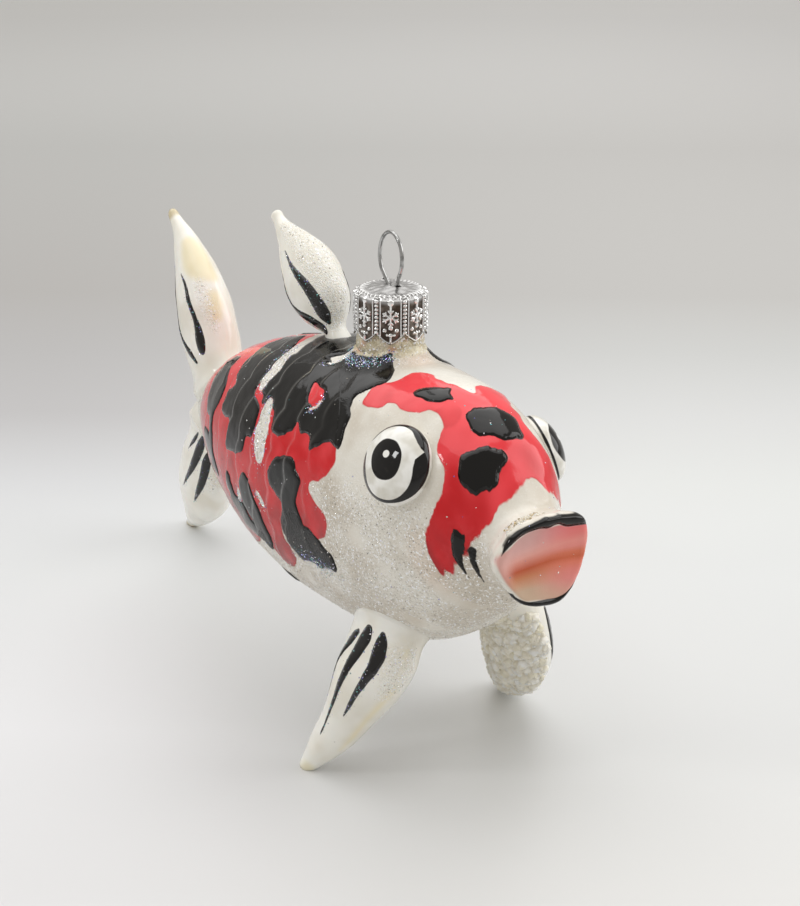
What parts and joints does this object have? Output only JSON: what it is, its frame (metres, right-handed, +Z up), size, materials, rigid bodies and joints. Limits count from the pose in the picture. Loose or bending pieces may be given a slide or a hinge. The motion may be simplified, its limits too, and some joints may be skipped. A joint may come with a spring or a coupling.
{
  "type": "glass koi ornament",
  "caption": "Hand-painted blown-glass koi ornament with bulging eyes, leaf-shaped fins, a crown cap and a wire hanging loop, resting on its fin tips.",
  "frame": {"origin": "on the floor under the middle of the ornament's bounding box", "axes": "+Z up, the fish looks along -Y, its left side is +X"},
  "size_m": [0.0449, 0.1352, 0.0857],
  "materials": {
    "pearl_glass": "pearl-white lacquer with fine clear glitter, glossy",
    "red_black_glass": "red and black lacquer strokes on pearl white, glossy, over moulded scales",
    "pink_glass": "brushed pink and orange lacquer, glossy",
    "eye_enamel": "white lacquer dome with a black pupil and outline, glossy",
    "fin_glass": "pearl lacquer with black strokes, glitter and clear granules",
    "neck_glass": "silver-gold lined glass with fine glitter",
    "cap_metal": "stamped tinplate, bright, with raised beads and flakes",
    "loop_wire": "drawn round wire, bright"
  },
  "bodies": {
    "root": {"head": "pearl_glass", "mouth": "pink_glass", "trunk": "red_black_glass", "tail_stalk": "red_black_glass", "eye_left": "eye_enamel", "eye_right": "eye_enamel", "dorsal_fin": "fin_glass", "tail_fin_upper": "fin_glass", "tail_fin_lower": "fin_glass", "pectoral_fin_left": "fin_glass", "pectoral_fin_right": "fin_glass", "glass_neck": "neck_glass", "crown_cap": "cap_metal", "hanging_loop": "loop_wire"}
  },
  "joints": []
}
